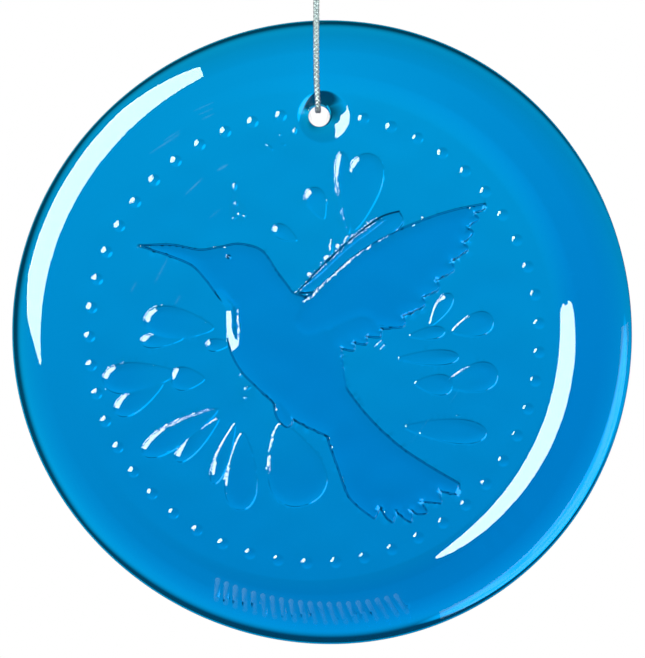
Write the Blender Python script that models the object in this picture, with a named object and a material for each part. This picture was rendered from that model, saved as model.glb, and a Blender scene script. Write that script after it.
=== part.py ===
"""Round suncatcher of moulded glass with a hummingbird in relief, hung on a loop of metallic cord.

The front faces -Y and +Z is up. The origin is where a hook holds the loop, just under its knot.
"""

import math

import bmesh
import bpy
import numpy as np
from mathutils import Vector
from mathutils.geometry import delaunay_2d_cdt, interpolate_bezier

MM = 0.001

# The disc's outline is a hand-poured circle, a little oval and a little three-sided.
DISC_RADIUS = 76.0 * MM
OVAL_DEPTH = 0.29 * MM
OVAL_ANGLE = math.radians(-76.6)
LOBE_DEPTH = 0.45 * MM
LOBE_ANGLE = math.radians(-56.7)

# The disc's section: a flat back, a rolled rim and a pressed field.
RIM_THICKNESS = 7.5 * MM
BACK_EDGE_RADIUS = 1.8 * MM
ROLL_WIDTH = 11.3 * MM
ROLL_SHAPE = 1.3
EDGE_SHAPE = 4.5
RIM_WIDTH = 16.7 * MM
SLOPE_WIDTH = 5.4 * MM
FIELD_DEPTH = 1.0 * MM
FIELD_ASIDE = -2.98 * MM
FIELD_ABOVE = -0.88 * MM

# The pearls stand in a ring on the field, with a wider space at the hole.
PEARL_INSET = 4.5 * MM
PEARL_COUNT = 47
PEARL_RADIUS = 0.75 * MM
PEARL_HEIGHT = 0.5 * MM
PEARL_SPACE_AT_HOLE = math.radians(21.2)

# The hole is a plain bore with a funnel in front and a rounded edge behind.
HOLE_ANGLE = math.radians(88.0)
HOLE_INSET = 1.1 * MM
BORE_RADIUS = 2.6 * MM
BORE_LAND = 1.0 * MM
BORE_EDGE_RADIUS = 2.0 * MM
FUNNEL_WIDTH = 3.9 * MM

# Relief heights over the field, and the width of the shoulder at each edge.
BODY_HEIGHT = 1.1 * MM
NEAR_WING_HEIGHT = 1.3 * MM
FAR_WING_HEIGHT = 0.6 * MM
FAR_WING_BONE_HEIGHT = 0.85 * MM
EYE_HEIGHT = 1.4 * MM
EYE_RADIUS = 0.75 * MM
PETAL_HEIGHT = 0.5 * MM
SHOULDER_WIDTH = 0.6 * MM

# The row of plain strokes at the foot of the rim.
STROKE_COUNT = 20
STROKE_ARC_START = math.radians(-112.5)
STROKE_ARC_END = math.radians(-74.0)
STROKE_INSET = 7.8 * MM
STROKE_LENGTH = 4.6 * MM
STROKE_WIDTH = 1.1 * MM
STROKE_HEIGHT = 0.35 * MM
STROKE_LEAN = math.radians(18.0)

# The disc hangs below the origin, and aside of it so that the cord is plumb.
DISC_DROP = 12.0 * MM
DISC_ASIDE = 1.8 * MM

# The cord and its knot.
CORD_DIAMETER = 1.5 * MM
FACE_GAP = 0.3 * MM
KNOT_RADIUS = 2.6 * MM
KNOT_END_RADIUS = 1.77 * MM
KNOT_HEIGHT = 5.0 * MM
TAIL_ASIDE = 1.04 * MM
TAIL_RISE = 8.0 * MM
TAIL_SPREAD = 1.6 * MM

# How finely round shapes are cut into flats.
OUTLINE_POINTS = 112
BORE_POINTS = 24
PETAL_POINTS = 14
DOME_POINTS = 8
ARC_STEPS = 3
ROLL_RINGS = (0.01, 0.05, 0.13, 0.28, 0.5, 0.75, 1.0)
SLOPE_RINGS = (0.0, 0.2, 0.4, 0.6, 0.8, 1.0)
FUNNEL_RINGS = (0.04, 0.15, 0.35, 0.65, 1.0)
RING_CLEARANCE = 1.1
TUBE_SIDES = 8
KNOT_SIDES = 20
KNOT_STEPS = 8

# The figure, in hundredths of the pearl ring's radius from the field's centre.
HEAD = [(-76, 40.5), (-62, 40.6), (-50, 38.4), (-41, 39.6), (-32, 41), (-22, 38), (-15.5, 29), (-8.5, 19.5)]
BACK = [(-8.5, 19.5), (4, 13), (12, -2), (14.9, -20), (17, -34), (18, -49)]
BELLY = [(18, -49), (7, -44.5), (-8, -37), (-22, -25), (-32, -14.5), (-37, -3), (-38, 12)]
THROAT = [(-38, 12), (-43, 19.5), (-47.5, 25.5), (-53, 31.2), (-62, 35.2), (-75, 39)]
FOOT = [(-17, -29), (-15.5, -36), (-11.5, -40.5), (-8.5, -39), (-9, -34), (-13, -28)]
FAR_WING_TOP = [(-6.5, 19), (4, 30.5), (18, 43.5), (30, 52.5), (39, 55.5)]
FAR_WING_FOOT = [(39, 55.5), (40, 49), (26, 38), (10, 22), (-6.5, 19)]
FAR_WING_BONE = [(34, 52), (26, 46), (14, 36.5), (4, 27), (-6.5, 19)]
WING_TOP = [(-6, 14), (6, 24.5), (17, 34.5), (31, 43.5), (48, 51), (63, 56), (78, 59)]
WING_TIPS = [(77, 56.5), (73, 49), (69.5, 38.5), (62, 27.5), (52.5, 16), (40.5, 4)]
WING_ROOT = [(40.5, 4), (36, 3.6), (29, 4.9), (22.4, 7.9), (10, 3), (-2, -1), (-9.3, 5.5), (-6, 14)]
INNER_TIPS = [(37, 4), (34, 1.5), (28.3, -1.7), (21.6, -5.2), (13, -9.2)]
INNER_ROOT = [(13, -9.2), (6, -3), (8, 8), (25, 12), (37, 4)]
TAIL_TOP = [(12, -12), (15, -22), (25, -35.5), (38, -48), (52, -57.5), (66.5, -66)]
TAIL_TIPS = [(65.5, -70.5), (54.6, -76), (48, -81.5), (42, -83), (34.5, -82.7), (27.5, -81)]
TAIL_FOOT = [(27.5, -81), (17, -72), (11.5, -58), (7, -45), (4, -30), (12, -12)]
EYE = (-36.7, 35.2)
WING_FEATHERS = 10
INNER_FEATHERS = 4
TAIL_FEATHERS = 5
# How deep each notch between feathers is, and where it lies between two tips.
WING_NOTCH = (3.2, 0.5)
TAIL_NOTCH = (5.5, 0.75)

# A petal's width grows from this share at its foot, and by this much towards its far end.
PETAL_FOOT_SHARE = 0.4
PETAL_SWELL = 0.7
# Each petal of a spray: its foot, its angle, its length and its width, in the figure's hundredths.
LEFT_SPRAY = [(-43.5, 3.5, 173, 31, 18), (-57, -1, 185, 19, 8), (-36, -3.3, 186, 11, 7),
              (-60, -16.5, 186, 33, 17), (-66, -21, 212, 25, 12), (-47.5, -19, 180, 15, 13),
              (-41.5, -32.5, 211, 39, 13.5), (-41, -36.5, 225, 27, 9), (-34, -39, 250, 28.5, 8),
              (-30.5, -43, 268, 34.5, 18), (-14, -39, 288, 38, 32)]
RIGHT_SPRAY = [(43, 0.5, 12, 39, 27), (60, 2, 12, 24, 14), (38.5, -10, 1.5, 27, 8.5),
               (46, -21, -3.5, 17, 11.5), (59.5, -22, 14, 24, 16), (67.5, -24, 19, 13.5, 6),
               (41.5, -40.5, -4.5, 36.5, 13.5)]
TOP_SPRAY = [(5.5, 52, 113, 15, 11), (16.5, 45.5, 95, 36.5, 9), (18.5, 47, 77, 35, 20),
             (-6.5, 42.5, 150, 12, 8)]

# The cord's route in millimetres: down in front of the glass, through the hole and up behind it.
CORD_ROUTE = [
    (0.0, -0.95, 0.0), (0.0, -1.5, -3.5), (0.0, -2.5, -8.0), (0.0, -3.6, -13.0), (0.0, -4.5, -17.5),
    (0.0, -4.95, -21.5), (0.05, -4.95, -25.0), (0.15, -4.5, -28.2), (0.3, -3.5, -30.9), (0.4, -1.9, -32.9),
    (0.4, 0.2, -33.75), (0.4, 2.2, -33.75), (0.35, 4.0, -32.8), (0.25, 5.0, -30.9), (0.1, 5.15, -28.0),
    (0.0, 5.05, -23.5), (0.0, 5.0, -18.5), (0.0, 4.7, -13.5), (0.0, 3.5, -8.5), (0.0, 1.9, -3.8),
    (0.0, 0.95, 0.0),
]


def turned(distance, angle):
    """The point at this distance and angle from the zero point."""
    return Vector((distance * math.cos(angle), distance * math.sin(angle)))


FIELD_RADIUS = DISC_RADIUS - RIM_WIDTH
PEARL_RING = FIELD_RADIUS - PEARL_INSET
DISC_CENTRE = Vector((DISC_ASIDE, -DISC_DROP - DISC_RADIUS))
FIELD_CENTRE = DISC_CENTRE + Vector((FIELD_ASIDE, FIELD_ABOVE))
HOLE_CENTRE = FIELD_CENTRE + turned(PEARL_RING - HOLE_INSET, HOLE_ANGLE)
BACK_Y = RIM_THICKNESS / 2
FUNNEL_DEPTH = RIM_THICKNESS - FIELD_DEPTH - BORE_EDGE_RADIUS - BORE_LAND


def smooth_run(points, steps):
    """Points along a smooth curve through the given ones, without the last."""
    points = [Vector(point).to_3d() for point in points]
    run = []
    for index in range(len(points) - 1):
        start, end = points[index], points[index + 1]
        before = points[max(0, index - 1)]
        after = points[min(len(points) - 1, index + 2)]
        leave = start + (end - before) / 6
        arrive = end - (after - start) / 6
        run += interpolate_bezier(start, leave, arrive, end, steps + 1)[:-1]
    return run


def ring(centre, radius, count, start=0.0):
    """Points of a circle, anticlockwise."""
    return [centre + turned(radius, start + 2 * math.pi * step / count) for step in range(count)]


def outline_radius(angle):
    """The disc's radius at this angle, or at each angle of an array."""
    oval = OVAL_DEPTH * np.cos(2 * (angle - OVAL_ANGLE))
    return DISC_RADIUS + oval + LOBE_DEPTH * np.cos(3 * (angle - LOBE_ANGLE))


def outline(inset):
    """Points of the disc's outline, moved in by the inset."""
    angles = [2 * math.pi * step / OUTLINE_POINTS for step in range(OUTLINE_POINTS)]
    return [DISC_CENTRE + turned(outline_radius(angle) - inset, angle) for angle in angles]


def on_field(points):
    """Points of the figure, moved from its hundredths to their places on the field."""
    return [FIELD_CENTRE + Vector(point[:2]) * PEARL_RING / 100 for point in points]


def feathered(tips, feathers, notch):
    """A run of overlapping feather ends along the curve through the tips, without its last point.

    The notch behind each tip has a depth, and a place between this tip and the next.
    """
    depth, place = notch
    rest = 1 - place
    profile = [(0.0, 0.0), (place / 2, 0.42), (place, 1.0)]
    profile += [(place + rest / 4, 0.35), (place + rest * 0.6, 0.04)]
    curve = smooth_run(tips, 12) + [Vector(tips[-1]).to_3d()]
    reached = [0.0]
    for start, end in zip(curve, curve[1:]):
        reached.append(reached[-1] + (end - start).length)
    run = []
    for feather in range(feathers):
        for along, cut in profile:
            at = (feather + along) / feathers * reached[-1]
            after = next(index for index, reach in enumerate(reached) if reach > at)
            share = (at - reached[after - 1]) / (reached[after] - reached[after - 1])
            heading = (curve[after] - curve[after - 1]).normalized()
            inward = Vector((heading.y, -heading.x, 0.0))
            run.append(curve[after - 1].lerp(curve[after], share) + inward * depth * cut)
    return run


def petal(foot_x, foot_z, angle, length, width):
    """A leaf that is narrow at its foot and round at its far end."""
    along = turned(1, math.radians(angle))
    across = Vector((-along.y, along.x))
    edge = []
    for step in range(PETAL_POINTS):
        turn = 2 * math.pi * step / PETAL_POINTS
        reach = (1 - math.cos(turn)) / 2
        half = width / 2 * math.sin(turn) * (PETAL_FOOT_SHARE + PETAL_SWELL * reach)
        edge.append(Vector((foot_x, foot_z)) + along * length * reach + across * half)
    return edge


def stroke(angle):
    """A short leaning bar with round ends on the rim."""
    along = angle + STROKE_LEAN
    centre = DISC_CENTRE + turned(outline_radius(angle) - STROKE_INSET, angle)
    half = (STROKE_LENGTH - STROKE_WIDTH) / 2
    edge = []
    for side in (1, -1):
        for swing in (-90, -30, 30, 90):
            end = centre + turned(half * side, along)
            edge.append(end + turned(STROKE_WIDTH / 2 * side, along + math.radians(swing)))
    return edge


class Pad:
    """A raised patch of relief inside an outline, with a round shoulder at its edge."""

    def __init__(self, edge, height, shoulder, insets):
        self.edge = [point.to_2d() for point in edge]
        self.height = height
        self.shoulder = shoulder
        self.insets = insets

    def depth(self, points):
        """How far inside the outline each point lies, or 0 outside it."""
        corners = np.array(self.edge)
        ends = np.roll(corners, -1, axis=0)
        spans = ends - corners
        offsets = points[:, None, :] - corners[None, :, :]
        share = np.clip((offsets * spans).sum(axis=2) / (spans ** 2).sum(axis=1), 0.0, 1.0)
        distance = np.linalg.norm(offsets - share[:, :, None] * spans, axis=2).min(axis=1)
        crosses = (corners[:, 1] > points[:, None, 1]) != (ends[:, 1] > points[:, None, 1])
        rise = np.where(spans[:, 1] == 0.0, 1.0, spans[:, 1])
        cut = corners[:, 0] + offsets[:, :, 1] * spans[:, 0] / rise
        inside = (crosses & (points[:, None, 0] < cut)).sum(axis=1) % 2 == 1
        return np.where(inside, distance, 0.0)

    def rise(self, points):
        """How far each point stands over the ground of the relief."""
        share = np.clip(self.depth(points) / self.shoulder, 0.0, 1.0)
        return self.height * np.sqrt(1.0 - (1.0 - share) ** 2)

    def inner_run(self, inset):
        """The outline's points moved inward, and which of them the pad is wide enough for."""
        corners = np.array(self.edge)
        along = np.roll(corners, -1, axis=0) - np.roll(corners, 1, axis=0)
        inward = np.stack([-along[:, 1], along[:, 0]], axis=1) / np.linalg.norm(along, axis=1)[:, None]
        after = np.roll(corners, -1, axis=0)
        area = (corners[:, 0] * after[:, 1] - after[:, 0] * corners[:, 1]).sum()
        moved = corners + inward * inset * np.sign(area)
        return moved, self.depth(moved) > 0.9 * inset


def bird():
    """The pads of the hummingbird."""
    body = smooth_run(HEAD, 3) + smooth_run(BACK, 2) + smooth_run(BELLY, 3) + smooth_run(THROAT, 3)
    body.append(Vector(THROAT[-1]).to_3d())
    far_wing = smooth_run(FAR_WING_TOP, 3) + smooth_run(FAR_WING_FOOT, 3)
    far_bone = smooth_run(FAR_WING_TOP[:-1], 3) + smooth_run(FAR_WING_BONE, 3)
    wing_tips = feathered(WING_TIPS, WING_FEATHERS, WING_NOTCH)
    near_wing = smooth_run(WING_TOP, 3) + wing_tips + smooth_run(WING_ROOT, 2)
    inner_wing = feathered(INNER_TIPS, INNER_FEATHERS, WING_NOTCH) + smooth_run(INNER_ROOT, 2)
    tail_tips = feathered(TAIL_TIPS, TAIL_FEATHERS, TAIL_NOTCH)
    tail = smooth_run(TAIL_TOP, 3) + tail_tips + smooth_run(TAIL_FOOT, 3)
    insets = (0.35 * SHOULDER_WIDTH, SHOULDER_WIDTH)
    return [
        Pad(on_field(body), BODY_HEIGHT, SHOULDER_WIDTH, insets),
        Pad(on_field(smooth_run(FOOT + FOOT[:1], 1)), BODY_HEIGHT, SHOULDER_WIDTH, insets[1:]),
        Pad(on_field(far_wing), FAR_WING_HEIGHT, SHOULDER_WIDTH, insets[1:]),
        Pad(on_field(far_bone), FAR_WING_BONE_HEIGHT, SHOULDER_WIDTH, insets[1:]),
        Pad(on_field(near_wing), NEAR_WING_HEIGHT, SHOULDER_WIDTH, insets),
        Pad(on_field(inner_wing), BODY_HEIGHT, SHOULDER_WIDTH, insets[1:]),
        Pad(on_field(tail), BODY_HEIGHT, SHOULDER_WIDTH, insets),
        Pad(ring(on_field([EYE])[0], EYE_RADIUS, DOME_POINTS), EYE_HEIGHT, EYE_RADIUS, (EYE_RADIUS / 2,)),
    ]


def petals():
    """The pads of the three sprays of petals round the bird."""
    leaves = LEFT_SPRAY + RIGHT_SPRAY + TOP_SPRAY
    return [Pad(on_field(petal(*leaf)), PETAL_HEIGHT, SHOULDER_WIDTH, (SHOULDER_WIDTH,)) for leaf in leaves]


def pearls():
    """The ring of small domes, evenly spaced from one side of the hole round to the other."""
    pitch = (2 * math.pi - PEARL_SPACE_AT_HOLE) / (PEARL_COUNT - 1)
    pads = []
    for index in range(PEARL_COUNT):
        angle = HOLE_ANGLE + PEARL_SPACE_AT_HOLE / 2 + pitch * index
        edge = ring(FIELD_CENTRE + turned(PEARL_RING, angle), PEARL_RADIUS, DOME_POINTS, angle)
        pads.append(Pad(edge, PEARL_HEIGHT, PEARL_RADIUS, (PEARL_RADIUS / 2,)))
    return pads


def strokes():
    """The row of bars at the foot of the rim, all leaning one way."""
    pads = []
    for index in range(STROKE_COUNT):
        share = index / (STROKE_COUNT - 1)
        angle = STROKE_ARC_START + (STROKE_ARC_END - STROKE_ARC_START) * share
        pads.append(Pad(stroke(angle), STROKE_HEIGHT, STROKE_WIDTH / 2, (STROKE_WIDTH / 4,)))
    return pads


def glass_height(points, pads):
    """The height of the glass over its flat back at each point of the front."""
    from_centre = points - np.array(DISC_CENTRE)
    angle = np.arctan2(from_centre[:, 1], from_centre[:, 0])
    from_edge = outline_radius(angle) - np.hypot(from_centre[:, 0], from_centre[:, 1])
    rolled = np.clip(1.0 - from_edge / ROLL_WIDTH, 0.0, 1.0)
    roll = (RIM_THICKNESS - BACK_EDGE_RADIUS) * (1.0 - (1.0 - rolled ** ROLL_SHAPE) ** (1 / EDGE_SHAPE))
    up_slope = np.hypot(*(points - np.array(FIELD_CENTRE)).T) - FIELD_RADIUS
    share = np.clip(up_slope / SLOPE_WIDTH, 0.0, 1.0)
    field = FIELD_DEPTH * (1.0 + np.cos(np.pi * share)) / 2
    from_bore = np.hypot(*(points - np.array(HOLE_CENTRE)).T) - BORE_RADIUS
    into_funnel = np.clip(1.0 - from_bore / FUNNEL_WIDTH, 0.0, 1.0)
    funnel = FUNNEL_DEPTH * (1.0 - np.sqrt(1.0 - into_funnel ** 2))
    relief = np.zeros(len(points))
    for pad in pads:
        relief = np.maximum(relief, pad.rise(points))
    return RIM_THICKNESS - roll - field - funnel + relief


def outside(points, centre, radius):
    """Those of the points that lie farther than this from the centre."""
    return [point for point in points if (point - centre).length > radius]


def closed_lines(first, count):
    """The lines of a closed loop whose points follow each other from the first."""
    return [(first + index, first + (index + 1) % count) for index in range(count)]


def two_loops(edge, bore):
    """A plan of the disc between its edge and its bore."""
    return edge + bore, closed_lines(0, len(edge)) + closed_lines(len(edge), len(bore))


def front_plan(pads):
    """Points and lines of the front, laid out flat: the edge and the bore come first."""
    points, lines = two_loops(outline(0.0), ring(HOLE_CENTRE, BORE_RADIUS, BORE_POINTS))
    for share in ROLL_RINGS:
        roll = outline(share * ROLL_WIDTH)
        points += outside(roll, FIELD_CENTRE, FIELD_RADIUS + SLOPE_WIDTH * RING_CLEARANCE)
    for share in SLOPE_RINGS:
        slope = ring(FIELD_CENTRE, FIELD_RADIUS + share * SLOPE_WIDTH, OUTLINE_POINTS)
        points += outside(slope, HOLE_CENTRE, BORE_RADIUS + FUNNEL_WIDTH * RING_CLEARANCE)
    for share in FUNNEL_RINGS:
        points += ring(HOLE_CENTRE, BORE_RADIUS + share * FUNNEL_WIDTH, BORE_POINTS)
    for pad in pads:
        lines += closed_lines(len(points), len(pad.edge))
        points += pad.edge
        for inset in pad.insets:
            moved, kept = pad.inner_run(inset)
            places = {}
            for index in np.flatnonzero(kept):
                places[index] = len(points)
                points.append(Vector(moved[index]))
            for index, place in places.items():
                after = (index + 1) % len(moved)
                if after in places:
                    lines.append((place, places[after]))
    return points, lines


def triangulated(plan, bore_radius):
    """The plan's points and its triangles outside the bore, with where each given point went."""
    points, lines = plan
    points = [point / MM for point in points]
    flat, _, faces, origins, _, _ = delaunay_2d_cdt(points, lines, [], 0, 0.01, True)
    flat = [point * MM for point in flat]
    went = {start: place for place, starts in enumerate(origins) for start in starts}
    in_bore = bore_radius * math.cos(math.pi / BORE_POINTS)
    kept = []
    for face in faces:
        middle = sum((flat[corner] for corner in face), Vector((0.0, 0.0))) / 3
        if (middle - HOLE_CENTRE).length > in_bore:
            kept.append(face)
    return flat, kept, went


def loop_at(shape, points, height):
    """Corners over the back at this height, one for each point."""
    return [shape.verts.new((point.x, BACK_Y - height, point.y)) for point in points]


def bridge(shape, front, behind):
    """A band of faces from one closed loop to the loop behind it."""
    for index in range(len(front)):
        after = (index + 1) % len(front)
        shape.faces.new((front[index], behind[index], behind[after], front[after]))


def build_disc():
    """The one piece of moulded glass."""
    pads = bird() + petals() + pearls() + strokes()
    shape = bmesh.new()
    flat, faces, went = triangulated(front_plan(pads), BORE_RADIUS)
    heights = glass_height(np.array(flat), pads)
    front = [shape.verts.new((point.x, BACK_Y - height, point.y)) for point, height in zip(flat, heights)]
    for face in faces:
        shape.faces.new([front[corner] for corner in face])

    # The edge and the bore run from the front to the flat back, each by way of its rounding.
    rim = [front[went[index]] for index in range(OUTLINE_POINTS)]
    bore = [front[went[OUTLINE_POINTS + index]] for index in range(BORE_POINTS)]
    land = loop_at(shape, ring(HOLE_CENTRE, BORE_RADIUS, BORE_POINTS), BORE_EDGE_RADIUS)
    bridge(shape, land, bore)
    bore = land
    for step in range(1, ARC_STEPS + 1):
        turn = math.pi / 2 * step / ARC_STEPS
        inward, height = 1 - math.cos(turn), 1 - math.sin(turn)
        edge = loop_at(shape, outline(BACK_EDGE_RADIUS * inward), BACK_EDGE_RADIUS * height)
        bridge(shape, rim, edge)
        rim = edge
        lip = ring(HOLE_CENTRE, BORE_RADIUS + BORE_EDGE_RADIUS * inward, BORE_POINTS)
        lip = loop_at(shape, lip, BORE_EDGE_RADIUS * height)
        bridge(shape, lip, bore)
        bore = lip
    back = rim + bore
    plan = [Vector((corner.co.x, corner.co.z)) for corner in back]
    plan = two_loops(plan[:OUTLINE_POINTS], plan[OUTLINE_POINTS:])
    _, faces, went = triangulated(plan, BORE_RADIUS + BORE_EDGE_RADIUS)
    corners = {place: back[start] for start, place in went.items()}
    for face in faces:
        shape.faces.new([corners[corner] for corner in reversed(face)])
    finish("glass_disc", shape, glass_material())


def build_cord():
    """The loop of cord, a tube along its route."""
    curve = bpy.data.curves.new("hanging_cord", "CURVE")
    curve.dimensions = "3D"
    curve.bevel_depth = CORD_DIAMETER / 2
    curve.bevel_resolution = 2
    curve.use_fill_caps = True
    route = smooth_run(CORD_ROUTE, 2) + [Vector(CORD_ROUTE[-1])]
    spline = curve.splines.new("POLY")
    spline.points.add(len(route) - 1)
    for point, place in zip(spline.points, route):
        point.co = (*(place * MM), 1.0)
    curve.materials.append(cord_material())
    bpy.context.collection.objects.link(bpy.data.objects.new("hanging_cord", curve))


def knot_tail(name, side):
    """One free end of the cord, as a helper that the knot is joined with."""
    shape = bmesh.new()
    start = Vector((TAIL_ASIDE * side, 0.0, KNOT_HEIGHT / 2))
    end = start + Vector((TAIL_SPREAD * side, 0.0, KNOT_HEIGHT / 2 + TAIL_RISE))
    tail = bpy.data.objects.new(name, bpy.data.meshes.new(name))
    bpy.context.collection.objects.link(tail)
    turn = (end - start).to_track_quat("Z", "Y").to_matrix().to_4x4()
    turn.translation = (start + end) / 2
    radius = CORD_DIAMETER / 2
    bmesh.ops.create_cone(shape, cap_ends=True, segments=TUBE_SIDES, radius1=radius, radius2=radius,
                          depth=(end - start).length, matrix=turn)
    shape.to_mesh(tail.data)
    shape.free()
    tail.hide_render = True
    tail.display_type = "WIRE"
    return tail


def build_knot():
    """The overhand knot as one lump, with its two free ends."""
    shape = bmesh.new()
    below = []
    for step in range(KNOT_STEPS + 1):
        share = step / KNOT_STEPS
        swell = math.sin(math.pi * share)
        radius = KNOT_END_RADIUS + (KNOT_RADIUS - KNOT_END_RADIUS) * swell
        height = FACE_GAP + share * KNOT_HEIGHT
        level = [shape.verts.new((point.x, point.y, height))
                 for point in ring(Vector((0.0, 0.0)), radius, KNOT_SIDES)]
        if below:
            bridge(shape, level, below)
        else:
            shape.faces.new(list(reversed(level)))
        below = level
    shape.faces.new(below)
    knot = finish("cord_knot", shape, cord_material())
    for name, side in (("left_tail_helper", -1), ("right_tail_helper", 1)):
        join = knot.modifiers.new(name, "BOOLEAN")
        join.operation = "UNION"
        join.object = knot_tail(name, side)


def finish(name, shape, material):
    """The finished shape as a named object with its material."""
    mesh = bpy.data.meshes.new(name)
    shape.to_mesh(mesh)
    shape.free()
    mesh.shade_smooth()
    mesh.set_sharp_from_angle(angle=math.radians(35.0))
    mesh.materials.append(material)
    thing = bpy.data.objects.new(name, mesh)
    bpy.context.collection.objects.link(thing)
    return thing


def principled(name, colour, roughness, metallic, transmission):
    """A plain Principled material."""
    material = bpy.data.materials.new(name)
    material.use_nodes = True
    shader = material.node_tree.nodes["Principled BSDF"]
    shader.inputs["Base Color"].default_value = (*colour, 1.0)
    shader.inputs["Roughness"].default_value = roughness
    shader.inputs["Metallic"].default_value = metallic
    shader.inputs["Transmission Weight"].default_value = transmission
    return material


def glass_material():
    """Clear blue moulded glass."""
    return principled("clear blue glass", (0.0, 0.26, 0.63), 0.03, 0.0, 1.0)


def cord_material():
    """Silver metallic braid."""
    return principled("silver metallic braid", (0.62, 0.64, 0.68), 0.35, 0.9, 0.0)


for old in list(bpy.data.objects):
    bpy.data.objects.remove(old)
build_disc()
build_cord()
build_knot()
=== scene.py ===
"""A round suncatcher of moulded blue glass with a hummingbird in relief, on a loop of silver cord.

The front faces -Y and +Z is up. The origin is where a hook holds the loop, just under its knot.
"""
import math

import bmesh
import bpy
import numpy as np
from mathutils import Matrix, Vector
from mathutils.geometry import delaunay_2d_cdt, interpolate_bezier


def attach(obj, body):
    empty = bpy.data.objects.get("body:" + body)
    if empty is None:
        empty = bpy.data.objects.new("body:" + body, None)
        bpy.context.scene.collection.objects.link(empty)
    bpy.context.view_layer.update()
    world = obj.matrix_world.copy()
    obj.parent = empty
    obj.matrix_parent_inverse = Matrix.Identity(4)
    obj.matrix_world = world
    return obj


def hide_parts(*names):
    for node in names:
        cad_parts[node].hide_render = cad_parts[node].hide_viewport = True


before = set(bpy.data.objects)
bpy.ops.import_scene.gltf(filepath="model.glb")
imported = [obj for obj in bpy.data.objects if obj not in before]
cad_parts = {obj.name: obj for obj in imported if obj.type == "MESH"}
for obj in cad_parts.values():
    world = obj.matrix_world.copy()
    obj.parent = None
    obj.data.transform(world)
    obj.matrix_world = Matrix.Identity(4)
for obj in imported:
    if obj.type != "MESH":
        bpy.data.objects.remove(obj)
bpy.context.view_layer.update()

MM = 0.001

# The disc: its outline, thickness, rolled edge and rim.
DISC_RADIUS = 76.0 * MM
OVAL_DEPTH = 0.29 * MM
OVAL_ANGLE = math.radians(-76.6)
LOBE_DEPTH = 0.45 * MM
LOBE_ANGLE = math.radians(-56.7)
RIM_THICKNESS = 7.5 * MM
BACK_EDGE_RADIUS = 1.8 * MM
ROLL_WIDTH = 7.9 * MM
ROLL_SHAPE = 1.45
EDGE_SHAPE = 4.5
RIM_WIDTH = 16.7 * MM
# The slope from the field up to the rim's crease is deep and wide on the right, and shallow and narrow on
# the left.
FIELD_DEPTH = 0.8 * MM
CREASE_RADIUS = 63.6 * MM
CREASE_ASIDE = Vector((-1.5, -0.4)) * MM
SLOPE_SHAPE = 1.185
SLOPE_SHARPNESS = 0.3
SLOPE_GRADE = 0.255
SLOPE_FADE = 1.4
STEEPEST_ANGLE = math.radians(-16.0)
# The disc is a little thicker at its foot than at its top.
THICKNESS_LEAN = 1.6 * MM
FIELD_ASIDE = -2.98 * MM
FIELD_ABOVE = -0.88 * MM
DISC_DROP = 12.0 * MM
DISC_ASIDE = 1.8 * MM
PEARL_INSET = 4.5 * MM
PEARL_COUNT = 47
PEARL_RADIUS = 1.45 * MM
PEARL_HEIGHT = 0.21 * MM
PEARL_ASIDE = Vector((0.8, -0.5)) * MM
PEARL_SPACE_AT_HOLE = math.radians(21.2)
HOLE_ANGLE = math.radians(88.0)
HOLE_INSET = 1.1 * MM
BORE_RADIUS = 2.6 * MM
BORE_EDGE_RADIUS = 2.0 * MM
BORE_FOOT_RADIUS = 0.7 * MM
# The funnel is steep above the hole and flat below it.
FUNNEL_WIDTH = 3.8 * MM
FUNNEL_ASIDE = Vector((1.1, -0.2)) * MM
FUNNEL_DEPTH = 1.9 * MM
FUNNEL_SWING = 0.7 * MM
FUNNEL_ANGLE = math.radians(95.0)
FUNNEL_SHAPE = 1.3

# Relief heights over the field.
BODY_HEIGHT = 0.92 * MM
NEAR_WING_HEIGHT = 1.05 * MM
FAR_WING_HEIGHT = 0.6 * MM
FAR_WING_BONE_HEIGHT = 0.85 * MM
EYE_HEIGHT = 1.4 * MM
EYE_RADIUS = 0.9 * MM
PETAL_HEIGHT = 0.37 * MM
# Each pad of relief has a narrow step round its outline, and swells like a pillow inside it.
SHOULDER_WIDTH = 0.54 * MM
STEP_SHARE = 0.78
PILLOW_WIDTH = 3.2 * MM
PETAL_SHOULDER = 0.5 * MM
PETAL_STEP_SHARE = 0.3
PETAL_PILLOW = 2.1 * MM
PETAL_GROWTH = 0.8
# The cast surface is slightly uneven.
WAVE_COUNT = 14
WAVE_LENGTHS = (6.0 * MM, 24.0 * MM)
WAVE_GRADE = 0.016
RIM_WAVE_SHARE = 0.04
WAVE_SEED = 11

# The row of plain strokes at the foot of the rim.
STROKE_COUNT = 20
STROKE_ARC_START = math.radians(-112.5)
STROKE_ARC_END = math.radians(-74.0)
STROKE_INSET = 7.8 * MM
STROKE_LENGTH = 6.2 * MM
STROKE_WIDTH = 1.5 * MM
STROKE_HEIGHT = 0.02 * MM
STROKE_LEAN = math.radians(18.0)
# The points of its round ends, in degrees from its length.
STROKE_END = (-90, -60, -30, 0, 30, 60, 90)

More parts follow.
